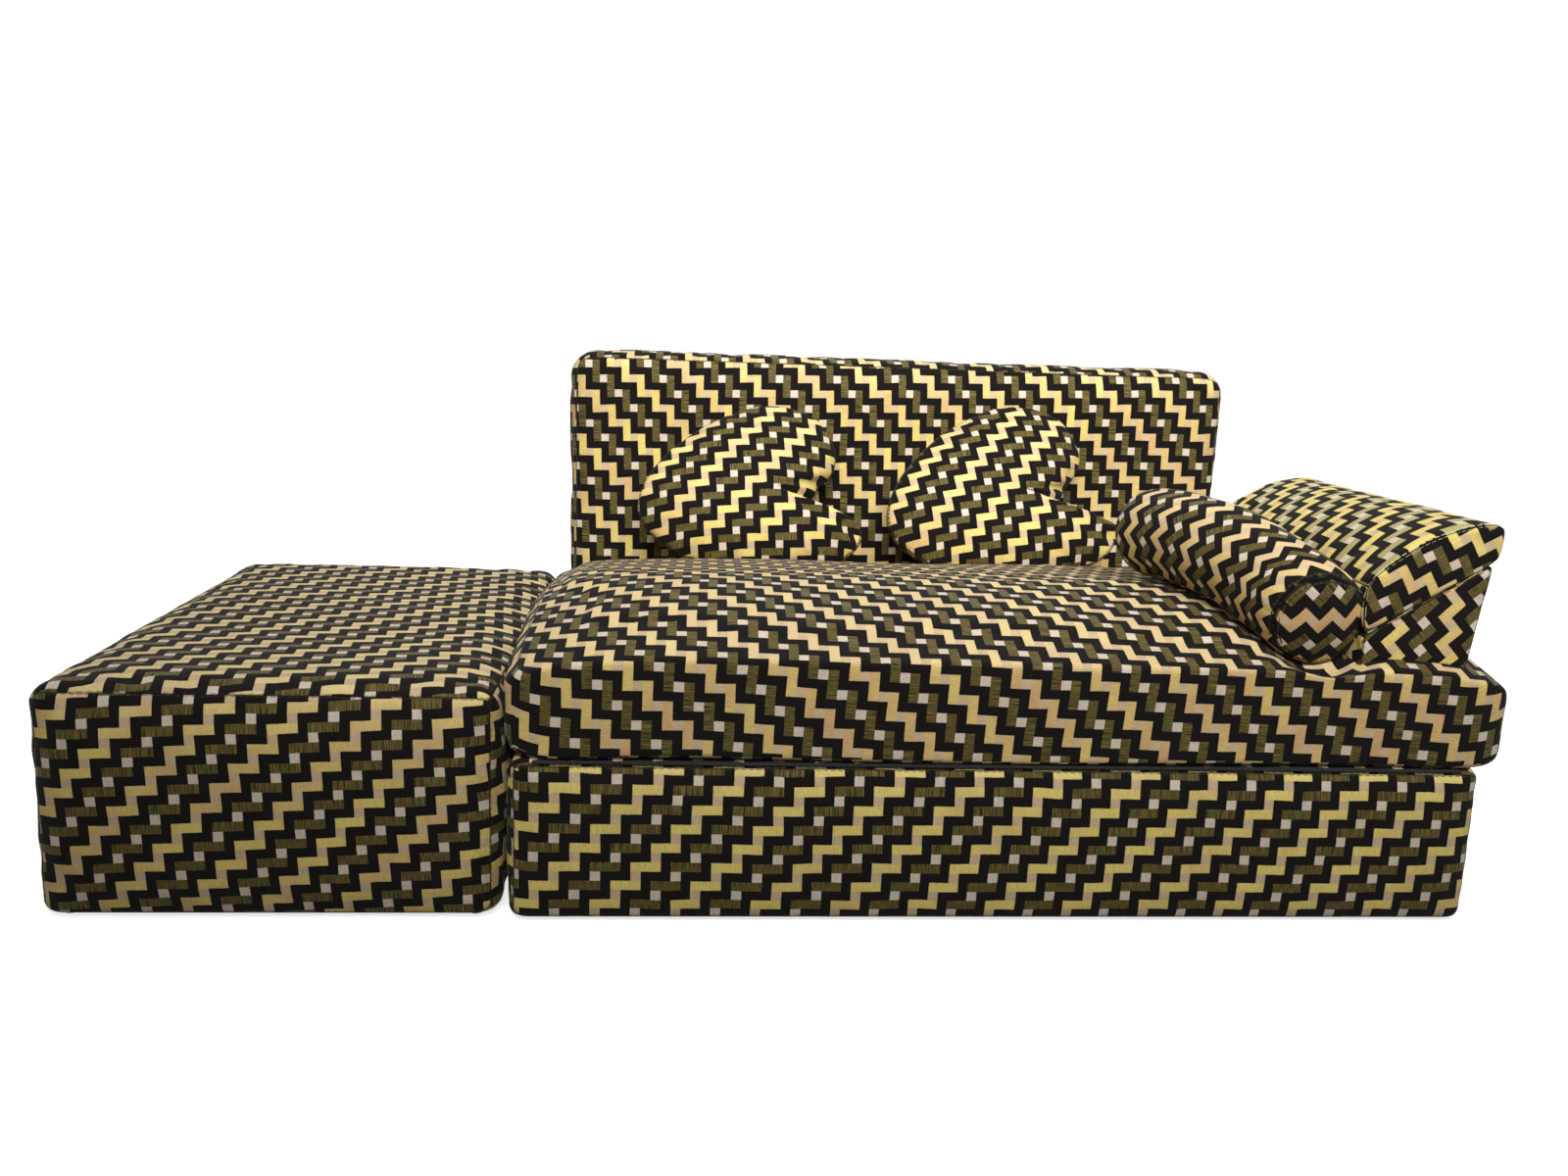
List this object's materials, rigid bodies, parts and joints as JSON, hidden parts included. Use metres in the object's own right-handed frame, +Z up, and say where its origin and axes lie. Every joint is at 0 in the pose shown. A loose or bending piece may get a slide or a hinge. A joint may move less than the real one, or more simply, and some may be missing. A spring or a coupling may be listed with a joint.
{
  "type": "divan sofa bed",
  "caption": "Foam divan sofa bed: box base, backrest, turn-over mattress, heart cushions, bolster, arm cushion, side ottoman.",
  "frame": {"origin": "on the floor, below the centre of the outline of the whole set: ottoman, sofa and backrest", "axes": "+X from the ottoman to the arm cushion (a viewer's left to right, seen from the front), +Y from the front to the backrest, +Z up"},
  "size_m": [1.7986, 1.029, 0.667],
  "materials": {
    "zigzag_fabric": "woven, dull with a faint sheen",
    "wadding": "matte fibre",
    "fibre_filling": "matte fibre",
    "foam": "matte open cell",
    "plywood": "raw",
    "dust_cloth": "matte non-woven",
    "glide_plastic": "matte",
    "zinc_plate": "zinc plated",
    "hinge_tape": "matte webbing"
  },
  "bodies": {
    "base": {"base_cover": "zigzag_fabric", "base_padding": "wadding", "base_front_board": "plywood", "base_rear_board": "plywood", "base_left_board": "plywood", "base_right_board": "plywood", "base_deck": "plywood", "base_middle_rail": "plywood", "base_dust_cloth": "dust_cloth", "base_glide_front_left": "glide_plastic", "base_glide_front_right": "glide_plastic", "base_glide_rear_left": "glide_plastic", "base_glide_rear_right": "glide_plastic", "backrest_cover": "zigzag_fabric", "backrest_foam": "foam", "backrest_board": "plywood", "backrest_glide_left": "glide_plastic", "backrest_glide_right": "glide_plastic", "joining_plate_left": "zinc_plate", "joining_plate_right": "zinc_plate", "hinge_leaf_base": "hinge_tape"},
    "mattress": {"seat_cover": "zigzag_fabric", "seat_firm_foam": "foam", "seat_soft_foam": "foam", "hinge_leaf_seat": "hinge_tape"},
    "heart_left": {"heart_left_cover": "zigzag_fabric", "heart_left_filling": "fibre_filling"},
    "heart_right": {"heart_right_cover": "zigzag_fabric", "heart_right_filling": "fibre_filling"},
    "bolster": {"bolster_cover": "zigzag_fabric", "bolster_filling": "fibre_filling", "bolster_end_front": "zigzag_fabric", "bolster_end_rear": "zigzag_fabric"},
    "arm_cushion": {"arm_wedge_cover": "zigzag_fabric", "arm_wedge_foam": "foam", "arm_pad_cover": "zigzag_fabric", "arm_pad_foam": "foam"},
    "ottoman": {"ottoman_cover": "zigzag_fabric", "ottoman_padding": "wadding", "ottoman_front_board": "plywood", "ottoman_rear_board": "plywood", "ottoman_left_board": "plywood", "ottoman_right_board": "plywood", "ottoman_deck": "plywood", "ottoman_middle_rail": "plywood", "ottoman_dust_cloth": "dust_cloth", "ottoman_glide_front_left": "glide_plastic", "ottoman_glide_front_right": "glide_plastic", "ottoman_glide_rear_left": "glide_plastic", "ottoman_glide_rear_right": "glide_plastic"}
  },
  "joints": [
    {"name": "bed_turn", "type": "hinge", "parent": "base", "child": "mattress", "pos_m": [0.2635, -0.5145, 0.20368], "axis": [1, 0, 0], "range_deg": [0, 180]},
    {"name": "heart_left_lift", "type": "slide", "parent": "mattress", "child": "heart_left", "axis": [0, 0, 1], "range_m": [0, 0.36]},
    {"name": "heart_right_lift", "type": "slide", "parent": "mattress", "child": "heart_right", "axis": [0, 0, 1], "range_m": [0, 0.36]},
    {"name": "bolster_lift", "type": "slide", "parent": "mattress", "child": "bolster", "axis": [0, 0, 1], "range_m": [0, 0.25]},
    {"name": "arm_cushion_lift", "type": "slide", "parent": "mattress", "child": "arm_cushion", "axis": [0, 0, 1], "range_m": [0, 0.25]},
    {"name": "ottoman_slide", "type": "slide", "parent": "base", "child": "ottoman", "axis": [-1, 0, 0], "range_m": [0, 0.5]}
  ]
}
